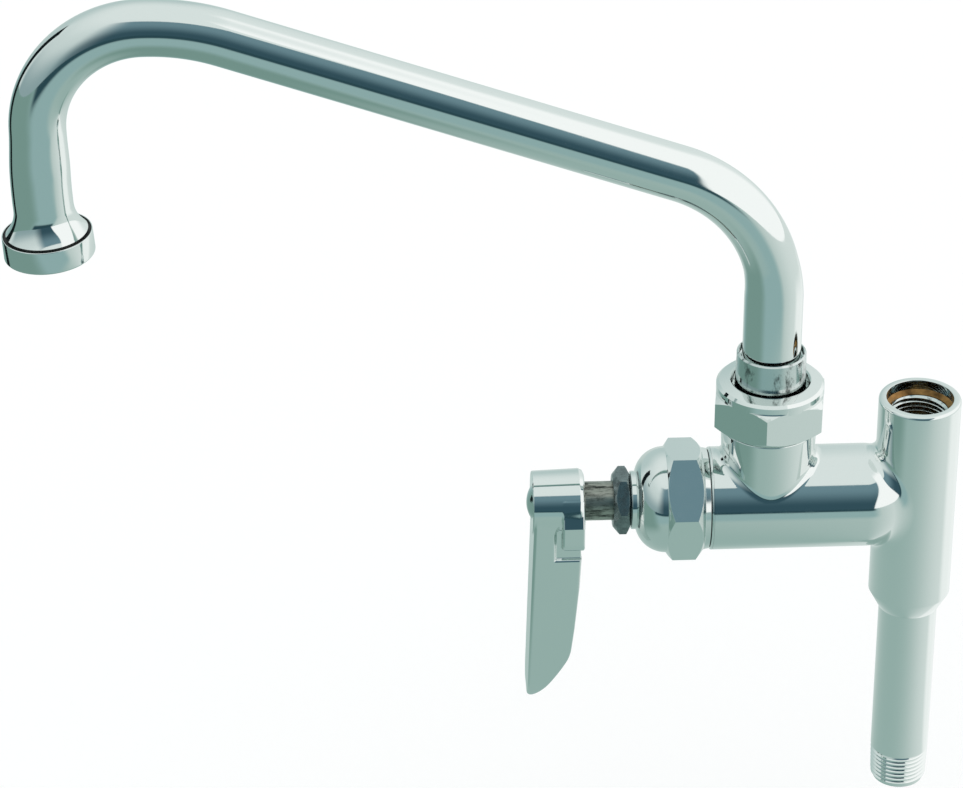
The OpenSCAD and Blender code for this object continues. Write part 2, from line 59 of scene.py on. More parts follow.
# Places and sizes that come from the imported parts, in metres.
BODY_LOW, BODY_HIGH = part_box("valve_body")
NIPPLE_LOW, NIPPLE_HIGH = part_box("inlet_nipple")
BONNET_LOW, BONNET_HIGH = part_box("bonnet")
SLEEVE_LOW, SLEEVE_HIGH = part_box("swivel_sleeve")

AXIS_Z = (BONNET_LOW.z + BONNET_HIGH.z) / 2          # height of the barrel's axis
RISER_X = (SLEEVE_LOW.x + SLEEVE_HIGH.x) / 2         # where the riser stands on the barrel
POST_R = BODY_HIGH.x
POST_TOP = BODY_HIGH.z
POST_FOOT = AXIS_Z - 32.4 * MM
BARREL_R = BODY_HIGH.y
BARREL_END = BODY_LOW.x
BOSS_TOP = AXIS_Z + 24.9 * MM
PIPE_R = NIPPLE_HIGH.x
TUBE_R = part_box("spout_tube")[1].x - RISER_X
RING_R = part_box("outlet_ring")[1].y
OUTLET_REACH = 203.2 * MM                            # from the riser's axis to the outlet's
OUTLET_Z = AXIS_Z + 85 * MM
OUTLET_LEAN = math.radians(4)
QUARTER = math.pi / 2


# ---- Settings a user would change ----

def linear(hex_colour):
    """An sRGB hex value as a linear RGBA colour."""
    parts = [int(hex_colour[i:i + 2], 16) / 255 for i in (1, 3, 5)]
    return [c / 12.92 if c <= 0.04045 else ((c + 0.055) / 1.055) ** 2.4 for c in parts] + [1.0]


def length(name, description, default):
    return bpy.props.FloatProperty(name=name, description=description, default=default,
                                   unit="LENGTH", precision=5)


def tint(name, description, hex_colour):
    return bpy.props.FloatVectorProperty(name=name, description=description, subtype="COLOR",
                                         size=4, min=0, max=1, default=linear(hex_colour))


class FaucetSizes(bpy.types.PropertyGroup):
    post_blend: length("Post blend", "Radius of the blend between barrel and post", 3 * MM)
    boss_blend: length("Boss blend", "Radius of the blend at the outlet boss", 2.2 * MM)
    lever_edge: length("Lever edge", "Rounding of the lever's edges", 1.0 * MM)
    lever_grain: length("Lever mesh", "Mesh size on the lever", 0.3 * MM)
    spout_waist: length("Spout waist", "How much thinner the bent tube is, at radius", 0.5 * MM)
    casting_grain: length("Casting mesh", "Mesh size on the casting", 0.5 * MM)
    thread_pitch: length("Thread pitch", "Pitch of the 3/8 in pipe threads", 1.411 * MM)
    edge_break: length("Edge break", "Rounding of the nuts' sharp edges", 0.18 * MM)


class FaucetColours(bpy.types.PropertyGroup):
    chrome: tint("Chrome", "Polished chrome plate", "#E7ECEA")
    worn: tint("Worn chrome", "Scratched chrome of the sleeve", "#D3DCDA")
    brass: tint("Brass", "Machined brass inside the bores", "#A07A4A")
    spindle: tint("Spindle", "Dull metal of the spindle", "#A6A9A0")
    dark_nut: tint("Packing nut", "Dark metal of the packing nut", "#8B9798")


# ---- Small tools ----

def mode(name):
    """Goes to object or edit mode."""
    bpy.ops.object.mode_set(mode=name)


def new_selection():
    """Leaves nothing selected, in object mode."""
    if bpy.context.object and bpy.context.object.mode != "OBJECT":
        mode("OBJECT")
    bpy.ops.object.select_all(action="DESELECT")


def pick(piece):
    new_selection()
    piece.select_set(True)
    bpy.context.view_layer.objects.active = piece


def named(piece, name):
    piece.name = piece.data.name = name
    return piece


def settle(piece, name):
    """Names a finished piece and puts its place into its mesh."""
    pick(piece)
    bpy.ops.object.transform_apply(location=True, rotation=True, scale=True)
    return named(piece, name)


def coords(piece):
    flat = np.empty(len(piece.data.vertices) * 3)
    piece.data.vertices.foreach_get("co", flat)
    return flat.reshape(-1, 3)


def set_coords(piece, points):
    piece.data.vertices.foreach_set("co", np.ascontiguousarray(points).ravel())
    piece.data.update()


def smooth(piece, degrees=30):
    pick(piece)
    bpy.ops.object.shade_smooth_by_angle(angle=math.radians(degrees))


def apply_modifier(piece, kind, **settings):
    pick(piece)
    modifier = piece.modifiers.new(kind.title(), kind)
    for key, value in settings.items():
        setattr(modifier, key, value)
    bpy.ops.object.modifier_apply(modifier=modifier.name)


def eased(points):
    """A profile with its corners rounded: each point is (height, radius) or, with a rounding,
    (height, radius, rounding)."""
    out = []
    count = len(points)
    for i, point in enumerate(points):
        here = Vector(point[:2])
        if len(point) < 3:
            out.append(here)
            continue
        back = (Vector(points[i - 1][:2]) - here).normalized()
        ahead = (Vector(points[(i + 1) % count][:2]) - here).normalized()
        half = back.angle(ahead) / 2
        middle = here + (back + ahead).normalized() * (point[2] / math.sin(half))
        start = here + back * (point[2] / math.tan(half)) - middle
        sweep = start.angle_signed(here + ahead * (point[2] / math.tan(half)) - middle)
        steps = 6
        for k in range(steps + 1):
            out.append(middle + Matrix.Rotation(-sweep * k / steps, 2) @ start)
    return out


def drawn(points):
    """Draws a line from point to point, and leaves it in edit mode."""
    new_selection()
    bpy.ops.mesh.primitive_plane_add(size=MM, location=points[0])
    mode("EDIT")
    bpy.ops.mesh.merge(type="CENTER")
    for here, there in zip(points, points[1:]):
        bpy.ops.mesh.extrude_region_move(TRANSFORM_OT_translate={"value": there - here})


def outward(inside=False):
    """Turns every face of the mesh that is being edited outwards, or inwards."""
    bpy.ops.mesh.select_all(action="SELECT")
    bpy.ops.mesh.normals_make_consistent(inside=inside)
    mode("OBJECT")


def axis_of(along):
    """Heights run along +Z, or away from the post along -X."""
    return Vector((0, 0, 1)) if along == "Z" else Vector((-1, 0, 0))


def turned(name, profile, centre, along="Z", steps=128, closed=True):
    """A piece turned on a lathe: the profile is drawn point by point and spun about the axis."""
    axis = axis_of(along)
    side = Vector((1, 0, 0)) if along == "Z" else Vector((0, 0, 1))
    places = [Vector(centre) + axis * p[0] + side * p[1] for p in eased(profile)]
    drawn(places + places[:1] if closed else places)
    bpy.ops.mesh.select_all(action="SELECT")
    bpy.ops.mesh.spin(steps=steps, angle=2 * math.pi, center=Vector(centre), axis=axis)
    bpy.ops.mesh.select_all(action="SELECT")
    bpy.ops.mesh.remove_doubles(threshold=0.002 * MM)
    outward()
    piece = settle(bpy.context.object, name)
    smooth(piece)
    return piece


def solid(name, kind, **settings):
    """Adds one of Blender's mesh shapes on its own."""
    new_selection()
    getattr(bpy.ops.mesh, "primitive_" + kind + "_add")(**settings)
    return settle(bpy.context.object, name)


def rod(name, radius, reach, centre, along="Z", corners=96, turn=None):
    """A round or many-sided bar about a point."""
    return solid(name, "cylinder", vertices=corners, radius=radius, depth=reach, location=centre,
                 rotation=turn or (0, 0 if along == "Z" else QUARTER, 0))


def nut(name, profile, flats, clock, bar, centre, along="Z", steps=128):
    """A turned blank trimmed by a hexagonal bar, in millimetres and degrees. The bar starts and
    reaches as given; its first corner is clocked from +X about Z, or from +Z towards +Y."""
    piece = turned(name, [[v * MM for v in point] for point in profile], centre, along, steps)
    start, reach = bar
    turn = Matrix.Rotation(math.radians(clock) + math.pi / 6, 3, "Z")
    if along != "Z":
        turn = Matrix.Rotation(-QUARTER, 3, "Y") @ turn
    middle = Vector(centre) + axis_of(along) * (start + reach / 2) * MM
    cut(piece, rod("bar", flats / math.sqrt(3) * MM, reach * MM, middle, corners=6,
                   turn=turn.to_euler()), "INTERSECT")
    return piece


def corner_of(flats):
    """Radius of a nut's blank: just past the corners of its hexagon, in millimetres."""
    return flats / math.sqrt(3) + 0.4


def cut(piece, tool, operation):
    """Cuts or trims one piece with another, which is used up."""
    apply_modifier(piece, "BOOLEAN", object=tool, operation=operation, solver="EXACT")
    bpy.data.objects.remove(tool)


def finish_nut(piece, slot, node_name):
    """Softens a nut's edges, keeps its flats flat and its cones round, and puts it in place."""
    apply_modifier(piece, "BEVEL", width=bpy.context.scene.faucet_sizes.edge_break, segments=2,
                   limit_method="ANGLE", angle_limit=math.radians(14), use_clamp_overlap=True,
                   harden_normals=False)
    smooth(piece, 40)
    apply_modifier(piece, "WEIGHTED_NORMAL", keep_sharp=True, weight=80)
    place_piece(piece, "faucet_body", slot, node_name)


def joined(pieces, name):
    new_selection()
    for piece in pieces:
        piece.select_set(True)
    bpy.context.view_layer.objects.active = pieces[0]
    bpy.ops.object.join()
    return named(pieces[0], name)


# ---- Rounded castings ----

def blended(first, second, radius):
    """Distance to the union of two forms with a round fillet between them."""
    one = np.maximum(radius - first, 0)
    other = np.maximum(radius - second, 0)
    return np.maximum(radius, np.minimum(first, second)) - np.hypot(one, other)


def trimmed(first, second, radius):
    """Distance to what two forms share, with a rounded edge where they meet."""
    one = np.maximum(radius + first, 0)
    other = np.maximum(radius + second, 0)
    return np.minimum(-radius, np.maximum(first, second)) + np.hypot(one, other)


def slope(form, points, step=0.002 * MM):
    """Which way a form's distance grows at each point."""
    grow = np.empty_like(points)
    for axis in range(3):
        shift = np.zeros(3)
        shift[axis] = step
        grow[:, axis] = (form(points + shift) - form(points - shift)) / (2 * step)
    return grow


def sculpt(piece, form, rounds=12):
    """Moves a rough mesh's points onto a form, and takes the shading from the form itself."""
    points = coords(piece)
    least = 0.05                                     # keeps a step short where the form is flat
    for _ in range(rounds):
        grow = slope(form, points)
        size = np.maximum((grow ** 2).sum(1), least)
        points -= grow * (form(points) / size)[:, None]
    set_coords(piece, points)


def shade_from(piece, form):
    points = coords(piece)
    grow = slope(form, points)
    normals = grow / np.linalg.norm(grow, axis=1)[:, None]
    pick(piece)
    bpy.ops.object.shade_smooth()
    piece.data.normals_split_custom_set_from_vertices(normals.tolist())


# ---- Materials ----

def node(tree, kind, links=(), **settings):
    """Adds a shader node, sets its settings and inputs, and links (input, node, output)."""
    made = tree.nodes.new("ShaderNode" + kind)
    for key, value in settings.items():
        if key in made.inputs:
            made.inputs[key].default_value = value
        else:
            setattr(made, key, value)
    for key, source, output in links:
        tree.links.new(source.outputs[output], made.inputs[key])
    return made


def metal(name, colour, roughness):
    """A bare metal material, its tree, its shader and its object coordinates."""
    material = bpy.data.materials.new(name)
    material.use_nodes = True
    tree = material.node_tree
    shader = tree.nodes["Principled BSDF"]
    shader.inputs["Base Color"].default_value = colour
    shader.inputs["Metallic"].default_value = 1.0
    shader.inputs["Roughness"].default_value = roughness
    place = node(tree, "TexCoord")
    return material, tree, shader, place


def ranged(tree, value, low, high, start=0.0, end=1.0, smooth=False):
    """Maps an output from low...high to start...end."""
    made = node(tree, "MapRange", interpolation_type="SMOOTHSTEP" if smooth else "LINEAR")
    tree.links.new(value, made.inputs["Value"])
    for key, number in (("From Min", low), ("From Max", high), ("To Min", start), ("To Max", end)):
        made.inputs[key].default_value = number
    return made.outputs["Result"]


def laid_over(tree, under, over, mask):
    """One colour over another; a colour is a hex value, a linear value or an output."""
    made = node(tree, "Mix", data_type="RGBA")
    tree.links.new(mask, made.inputs[0])
    for socket, colour in ((made.inputs[6], under), (made.inputs[7], over)):
        if isinstance(colour, bpy.types.NodeSocket):
            tree.links.new(colour, socket)
        else:
            socket.default_value = linear(colour) if isinstance(colour, str) else colour
    return made.outputs[2]


def noise(tree, place, scale, detail, roughness=0.5, stretch=None):
    """A noise pattern in object coordinates, which stretch draws out along an axis."""
    source, output = place, "Object"
    if stretch:
        source = node(tree, "Mapping", [("Vector", place, "Object")], Scale=stretch)
        output = "Vector"
    return node(tree, "TexNoise", [("Vector", source, output)], Scale=scale,
                Detail=detail, Roughness=roughness).outputs["Fac"]


def stained(tree, shader, colour, stain, pattern, low, high, most=1.0):
    """Base colour that turns to a stain where a pattern goes from low to high."""
    mixed = laid_over(tree, colour, stain, ranged(tree, pattern, low, high, 0.0, most))
    tree.links.new(mixed, shader.inputs["Base Color"])


def hazed(tree, shader, pattern, low, high, sharp, dull):
    """Roughness that follows a pattern."""
    tree.links.new(ranged(tree, pattern, low, high, sharp, dull), shader.inputs["Roughness"])


def bumped(tree, shader, pattern, strength, depth):
    """Fine relief that follows a pattern."""
    bump = node(tree, "Bump", Strength=strength, Distance=depth)
    tree.links.new(pattern, bump.inputs["Height"])
    tree.links.new(bump.outputs["Normal"], shader.inputs["Normal"])


def chrome_plate(colour):
    """Bright chrome plate over buffed cast brass: a mirror with a faint buffing ripple and a
    little haze from handling."""
    material, tree, shader, place = metal("chrome_plate", colour, 0.05)
    hazed(tree, shader, noise(tree, place, 220, 4, 0.65), 0.35, 0.8, 0.035, 0.11)
    bumped(tree, shader, noise(tree, place, 70, 1), 0.35, 0.03 * MM)
    return material


def worn_chrome(colour):
    """Chrome plate of the sleeve, scuffed by the nut: fine rings and a few dark smudges."""
    material, tree, shader, place = metal("worn_chrome", colour, 0.1)
    rings = noise(tree, place, 160, 5, 0.7, stretch=(1, 1, 14))
    smudge = noise(tree, place, 240, 6, 0.7, stretch=(1, 1, 0.45))
    stained(tree, shader, colour, "#2E3433", smudge, 0.53, 0.66, 0.9)
    hazed(tree, shader, rings, 0.35, 0.75, 0.06, 0.22)
    bumped(tree, shader, rings, 0.4, 0.02 * MM)
    return material


def bored_brass(colour):
    """Machined brass that has browned a little inside a bore, with fine tool rings."""
    material, tree, shader, place = metal("bored_brass", colour, 0.28)
    stained(tree, shader, colour, "#2C1F14", noise(tree, place, 180, 4), 0.4, 0.7)
    tool = node(tree, "TexWave", [("Vector", place, "Object")], bands_direction="Z",
                Scale=1500, Distortion=0.4)
    bumped(tree, shader, tool.outputs["Fac"], 0.3, 0.01 * MM)
    return material


def dull_spindle(colour):
    """Bare turned metal of the spindle, grey with handling stains and lengthwise streaks."""
    material, tree, shader, place = metal("dull_spindle", colour, 0.36)
    streaks = noise(tree, place, 520, 6, 0.75, stretch=(0.25, 1, 1))
    stained(tree, shader, colour, "#2B302E", streaks, 0.46, 0.62)
    hazed(tree, shader, streaks, 0.0, 1.0, 0.22, 0.5)
    bumped(tree, shader, streaks, 0.5, 0.04 * MM)
    return material


def dark_nut_metal(colour):
    """Machined nut with a dark, slightly uneven plate."""
    material, tree, shader, place = metal("dark_nut_metal", colour, 0.24)
    cloud = noise(tree, place, 300, 5, 0.7)
    hazed(tree, shader, cloud, 0.3, 0.75, 0.14, 0.42)
    stained(tree, shader, colour, "#4E585A", cloud, 0.35, 0.75)
    return material


def soft_solid(name, hex_colour, roughness, grain):
    """Rubber, fibre or soft plastic: matt, with a fine grain."""
    material, tree, shader, place = metal(name, linear(hex_colour), roughness)
    shader.inputs["Metallic"].default_value = 0.0
    bumped(tree, shader, noise(tree, place, grain, 4), 0.4, 0.03 * MM)
    return material


def dress(piece, material):
    piece.data.materials.clear()
    piece.data.materials.append(material)


FINISHES = {}


def finish(name):
    """The faucet's materials, each made once."""
    if not FINISHES:
        colours = bpy.context.scene.faucet_colours
        FINISHES.update({
            "chrome": chrome_plate(colours.chrome),
            "worn_chrome": worn_chrome(colours.worn),
            "brass": bored_brass(colours.brass),
            "bare_metal": dull_spindle(colours.spindle),
            "dark_metal": dark_nut_metal(colours.dark_nut),
            "fibre": soft_solid("gasket_fibre", "#22292C", 0.7, 900),
            "rubber": soft_solid("black_rubber", "#161818", 0.55, 1400),
            "ptfe": soft_solid("white_ring", "#E6E6DE", 0.45, 700),
        })
    return FINISHES[name]


def place_piece(piece, body, slot, *nodes):
    """Puts a finished piece on its body in place of the CAD nodes that it stands for."""
    dress(piece, finish(slot))
    if nodes:
        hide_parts(*nodes)
    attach(piece, body)


# ---- The faucet's pieces ----

def post_form(p):
    return np.hypot(p[:, 0], p[:, 1]) - POST_R


def barrel_form(p):
    """Distance to the barrel, whose inner end is round."""
    inner_end = -15.2 * MM
    beyond = np.maximum(p[:, 0] - inner_end, 0)
    return np.sqrt(beyond ** 2 + p[:, 1] ** 2 + (p[:, 2] - AXIS_Z) ** 2) - BARREL_R


def boss_form(p):
    """Distance to the boss, a cone above a short straight root."""
    root, top, straight = 13.1 * MM, 13.8 * MM, 6 * MM
    height = p[:, 2] - AXIS_Z
    part = np.clip(height - straight, 0, None) / (BOSS_TOP - AXIS_Z - straight)
    around = np.hypot(p[:, 0] - RISER_X, p[:, 1]) - (root + (top - root) * part)
    return np.maximum(around, -height)


def casting_form(p):
    sizes = bpy.context.scene.faucet_sizes
    branch = blended(post_form(p), barrel_form(p), sizes.post_blend)
    # Where boss and barrel run nearly flush, at the front and back, the fillet dies out.
    flush = p[:, 1] ** 2 / (np.hypot(p[:, 1], p[:, 2] - AXIS_Z)
                            * np.hypot(p[:, 0] - RISER_X, p[:, 1]) + 1e-9)
    return blended(branch, boss_form(p), sizes.boss_blend * np.clip(1.2 - flush, 0.22, 1))


class FAUCET_OT_casting(bpy.types.Operator):
    """Cast body: post, barrel and outlet boss that flow into each other, with turned ends"""
    bl_idname = "faucet.casting"
    bl_label = "Cast body"

    def execute(self, context):
        sizes = context.scene.faucet_sizes
        rim, barrel_lip, boss_lip = 1.0 * MM, 0.7 * MM, 0.5 * MM
        post_cut, boss_cut = POST_TOP - rim, BOSS_TOP - boss_lip
        barrel_cut = BARREL_END + barrel_lip
        # Rough forms, which run past each cut.
        overrun, inner_end, boss_r = 4 * MM, -11 * MM, 13.6 * MM
        skin = rod("casting", POST_R, post_cut - POST_FOOT + 2 * overrun,
                   (0, 0, (post_cut + POST_FOOT) / 2))
        barrel = rod("barrel", BARREL_R, inner_end - barrel_cut + overrun,
                     ((inner_end + barrel_cut - overrun) / 2, 0, AXIS_Z), along="X")
        dome = solid("dome", "uv_sphere", segments=96, ring_count=48, radius=BARREL_R,
                     location=(inner_end, 0, AXIS_Z))
        boss = rod("boss", boss_r, boss_cut + overrun - AXIS_Z,
                   (RISER_X, 0, (boss_cut + overrun + AXIS_Z) / 2))
        skin = joined([skin, barrel, dome, boss], "casting")
        apply_modifier(skin, "REMESH", mode="VOXEL", voxel_size=sizes.casting_grain)
        sculpt(skin, casting_form)
        mode("EDIT")
        for point, normal in (((0, 0, post_cut), (0, 0, 1)), ((0, 0, POST_FOOT), (0, 0, -1)),
                              ((barrel_cut, 0, 0), (-1, 0, 0))):
            bpy.ops.mesh.select_all(action="SELECT")
            bpy.ops.mesh.bisect(plane_co=point, plane_no=normal, clear_outer=True)
        mode("OBJECT")
        self.open_boss(skin, boss_cut)
        shade_from(skin, casting_form)
        ends = [self.post_head(rim), self.post_taper(),
                self.barrel_mouth(barrel_cut, barrel_lip), self.boss_mouth(boss_cut, boss_lip)]
        body = joined([skin] + ends, "casting")
        place_piece(body, "faucet_body", "chrome", "valve_body")
        wall, crests = self.post_bore()
        place_piece(wall, "faucet_body", "brass")
        place_piece(crests, "faucet_body", "worn_chrome")
        return {"FINISHED"}

    def open_boss(self, skin, height):
        """Cuts the boss off level without touching the post."""
        mode("EDIT")
        bpy.ops.mesh.select_all(action="DESELECT")
        mode("OBJECT")
        points = coords(skin)
        reach, margin = BARREL_R + 0.5 * MM, 3 * MM
        near = np.hypot(points[:, 0] - RISER_X, points[:, 1]) < reach
        high = near & (points[:, 2] > height - margin)
        for polygon in skin.data.polygons:
            polygon.select = all(high[v] for v in polygon.vertices)
        mode("EDIT")
        bpy.ops.mesh.bisect(plane_co=(0, 0, height), plane_no=(0, 0, 1), clear_outer=True)
        mode("OBJECT")

    bore, bore_depth = 9.7 * MM, 2.9 * MM               # the post's counterbore

    def post_head(self, rim):
        """Rounded rim, flat top and plain counterbore of the post."""
        profile = [(-rim, POST_R), (0, POST_R, rim * 0.98), (0, self.bore, 0.15 * MM),
                   (-self.bore_depth, self.bore)]
        return turned("post_head", profile, (0, 0, POST_TOP), closed=False)

    def post_taper(self):
        """Short cone below the post, with a small step over the nipple."""
        drop, end_r = 5.7 * MM, PIPE_R + 0.35 * MM
        profile = [(0, POST_R), (-0.02 * MM, POST_R), (-drop, end_r, 0.25 * MM),
                   (-drop, PIPE_R - 0.1 * MM)]
        return turned("post_taper", profile, (0, 0, POST_FOOT), closed=False)

    def barrel_mouth(self, start, lip):
        bore = 12.37 * MM
        profile = [(0, BARREL_R), (lip, BARREL_R, lip * 0.9), (lip, bore)]
        return turned("barrel_mouth", profile, (start, 0, AXIS_Z), along="X", closed=False)

    def boss_mouth(self, start, lip):
        """Edge of the boss and the bare threaded spigot under the swivel nut."""
        wide, spigot, rise = 13.78 * MM, 13.1 * MM, 6.6 * MM
        profile = [(0, wide), (lip, wide, lip * 0.9), (lip, spigot), (lip + rise, spigot)]
        return turned("boss_mouth", profile, (RISER_X, 0, start), closed=False)

    def post_bore(self):
        """Bore of the post below its counterbore: chamfer, thread crests and waterway."""
        sizes = bpy.context.scene.faucet_sizes
        thread_r, waterway = 8.4 * MM, 6.3 * MM
        profile = [(-self.bore_depth, self.bore), (-self.bore_depth, self.bore - 0.05 * MM),
                   (-4.1 * MM, thread_r, 0.2 * MM), (-19.4 * MM, thread_r),
                   (-21.4 * MM, waterway), (-52 * MM, waterway)]
        wall = turned("post_bore", profile, (0, 0, POST_TOP), closed=False)
        crests = thread("post_thread", thread_r + 0.1 * MM, thread_r - 0.85 * MM,
                        sizes.thread_pitch, 15 * MM, (0, 0, POST_TOP - 19.2 * MM))
        return wall, crests


def thread(name, root, crest, pitch, rise, centre, taper=0.0):
    """A helical thread: one tooth is drawn and screwed up the axis, then tapered and faded out
    at both ends."""
    inward = crest < root
    flank = (-1 if inward else 1)
    half_root, half_crest, run_out, sunk = 0.46 * pitch, 0.07 * pitch, 0.6 * pitch, 0.08 * MM
    tooth = [(-half_root, root), (-half_crest, crest), (half_crest, crest), (half_root, root)]
    drawn([Vector((radius, 0, height)) for height, radius in tooth])
    mode("OBJECT")
    piece = settle(bpy.context.object, name)
    turns = rise / pitch
    steps = int(72 * turns)
    apply_modifier(piece, "SCREW", axis="Z", angle=2 * math.pi * turns, screw_offset=rise,
                   steps=steps, render_steps=steps, use_merge_vertices=False)
    points = coords(piece)
    reach = np.hypot(points[:, 0], points[:, 1])
    height = points[:, 2]
    fade = np.clip(np.minimum(height, rise - height) / run_out, 0, 1)
    wanted = root - flank * sunk + (reach - root) * fade + taper * height
    points[:, :2] *= (wanted / reach)[:, None]
    points += np.array(centre)
    set_coords(piece, points)
    pick(piece)
    mode("EDIT")
    outward(inside=inward)
    smooth(piece, 35)
    return piece


class FAUCET_OT_nipple(bpy.types.Operator):
    """Pipe nipple with a tapered thread at its lower end"""
    bl_idname = "faucet.nipple"
    bl_label = "Nipple"

    def execute(self, context):
        sizes = context.scene.faucet_sizes
        foot, thread_top = NIPPLE_LOW.z, 9.6 * MM
        root, bore = 7.55 * MM, 6.3 * MM
        run_out = 0.9 * MM
        profile = [(foot, bore, 0.3 * MM), (foot, root, 0.3 * MM),
                   (thread_top, root + 0.25 * MM), (thread_top + run_out, PIPE_R, 0.3 * MM),
                   (NIPPLE_HIGH.z, PIPE_R), (NIPPLE_HIGH.z, bore)]
        pipe = turned("nipple", profile, (0, 0, 0))
        rise = thread_top - foot + run_out
        crests = thread("nipple_thread", root, root + 0.75 * MM, sizes.thread_pitch, rise,
                        (0, 0, foot + 0.65 * MM), taper=1 / 32)
        place_piece(joined([pipe, crests], "nipple"), "faucet_body", "chrome", "inlet_nipple")
        return {"FINISHED"}


class FAUCET_OT_bonnet(bpy.types.Operator):
    """Bonnet: washer face, chamfered hexagon, domed shoulder and neck"""
    bl_idname = "faucet.bonnet"
    bl_label = "Bonnet"

    def execute(self, context):
        flats, clock = 31.2, -20.1
        corner = corner_of(flats)
        ring_r, dome_r, dome_at = 6.6, 8.85, 73.0
        neck_r, neck_end = 8.5, -BONNET_LOW.x / MM
        face, skirt, skirt_r, shank_r, bore, inner = (
            61.4, 60.72, 14.24, 12.2, 7.4, 72.3)
        reach = math.acos((neck_r - ring_r) / dome_r)
        steps = 20
        turns = [reach * k / steps for k in range(1, steps + 1)]
        dome = [(dome_at + dome_r * math.sin(t), ring_r + dome_r * math.cos(t)) for t in turns]
        profile = ([(face, shank_r), (face, skirt_r), (skirt, skirt_r),
                    (skirt, 14.6, 0.12), (62.3, 14.9),
                    (65, corner), (71.1, corner), (73.1, 15.5)]
                   + dome + [(neck_end, neck_r, 0.3), (neck_end, bore),
                             (inner, bore), (inner, shank_r)])
        piece = nut("bonnet", profile, flats, clock, (55, 35), (0, 0, AXIS_Z),
                    along="X", steps=160)
        finish_nut(piece, "chrome", "bonnet")
        return {"FINISHED"}


class FAUCET_OT_packing_nut(bpy.types.Operator):
    """Small dark hexagonal nut that presses the packing"""
    bl_idname = "faucet.packing_nut"
    bl_label = "Packing nut"

    def execute(self, context):
        flats, clock = 17.3, -25.6
        corner = corner_of(flats)
        inner, outer = 83.3, 88.3
        bore, chamfer, shank, shank_r = 5.8, 0.4, 4, 7.3
        profile = [(inner, 7.8), (84.7, corner), (86.1, corner),
                   (outer, 7.7), (outer, bore + chamfer), (outer - chamfer, bore),
                   (inner - shank, bore), (inner - shank, shank_r), (inner, shank_r)]
        piece = nut("packing_nut_hex", profile, flats, clock, (70, 25),
                    (0, 0, AXIS_Z), along="X")
        finish_nut(piece, "dark_metal", "packing_nut")
        return {"FINISHED"}


class FAUCET_OT_swivel_nut(bpy.types.Operator):
    """Swivel nut with a flat round shoulder over its hexagon"""
    bl_idname = "faucet.swivel_nut"
    bl_label = "Swivel nut"

    def execute(self, context):
        flats, clock = 30.6, 21.6
        corner = corner_of(flats)
        foot, hex_top, top = 26.2, 36.6, 39.9
        mouth, lip, cavity = 11.2, 35, 13.12
        profile = [(foot, 15.4), (28.3, corner), (35.2, corner),
                   (hex_top, 15.9), (hex_top, mouth), (lip, mouth), (lip, cavity),
                   (foot, cavity)]
        piece = nut("swivel_nut_hex", profile, flats, clock, (15, 35),
                    (RISER_X, 0, AXIS_Z))
        sunk, shoulder_r, chamfer = hex_top - 0.5, 15.5, 0.4
        shoulder = turned("shoulder", [(x * MM, r * MM) for x, r in (
            (sunk, mouth), (sunk, shoulder_r), (38.5, shoulder_r), (39.3, 14.7),
            (top, 12), (top, mouth + chamfer), (top - chamfer, mouth))], (RISER_X, 0, AXIS_Z))
        cut(piece, shoulder, "UNION")
        finish_nut(piece, "chrome", "swivel_nut")
        return {"FINISHED"}


def arc(x, z, radius, start, end, steps):
    """Points of an arc in an outline, in millimetres and degrees."""
    turns = [math.radians(start + (end - start) * k / steps) for k in range(steps + 1)]
    return [(x + radius * math.cos(t), z + radius * math.sin(t)) for t in turns]


# The lever's stations and bores, in millimetres: hub, foot, screw, screw head, button, socket,
# lug and the floor of the groove round it.
HUB_IN, HUB_END, LEVER_FOOT = -96.6, -111.8, -65.0
SCREW_R, HEAD_R, HEAD_SEAT = 2.3, 4.2, -107.4
BUTTON_R, BUTTON_SEAT, SQUARE, SQUARE_DEPTH = 5.02, -109.8, 3.85, 9.6
LUG_AT, LUG_HALF = -100, 3.2
GROOVE_LOW, GROOVE_HIGH = (-106, -7.7, -15.5), (-97.7, 7.7, 2)

# Hub, seen along its length: (place on the barrel's axis, radius).
HUB_OUTLINE = [(HUB_IN, -5), (HUB_IN, 8), (HUB_IN - 0.5, 9.1), (HUB_IN - 1.6, 9.65),
               (HUB_END + 0.3, 9.2), (HUB_END, 8.9), (HUB_END, -5)]
# Blade from the front: outer edge, narrow tip, long curved cut, rounded corner, inner edge, and
# the notch that clears the lug.
BLADE_OUTLINE = (
    [(HUB_END + 0.5, 2), (HUB_END, -16)]
    + arc(HUB_END, LEVER_FOOT + 1.3, 1.3, 180, 319, 12)
    + arc(HUB_END - 42.44, LEVER_FOOT + 42, 60, -41, -29, 10)
    + arc(HUB_END - 2.2, LEVER_FOOT + 19.7, 14, -25, -7, 8)
    + [(HUB_END + 12.55, -39.5), (HUB_END + 13.8, -25), (HUB_END + 14.3, -14.7),
       (HUB_END + 6.7, -14.7), (HUB_END + 6.7, -6), (HUB_END + 8.2, -1), (HUB_END + 8.2, 2)])
# Blade from the side: flat faces that meet in a crease below the hub and taper to a round end.
BLADE_SIDE = ([(8.5, 3), (9.1, -3.6)] + arc(0, -58.8, 7.4, -1.8, -178.2, 40)
              + [(-9.1, -3.6), (-8.5, 3)])
# Lug from the side: widens downwards, with rounded lower corners.
LUG_SIDE = ([(8.1, 4.6), (11, -2.9)] + arc(8, -8.4, 3, 0, -90, 10)
            + arc(-8, -8.4, 3, -90, -180, 10) + [(-11, -2.9), (-8.1, 4.6)])


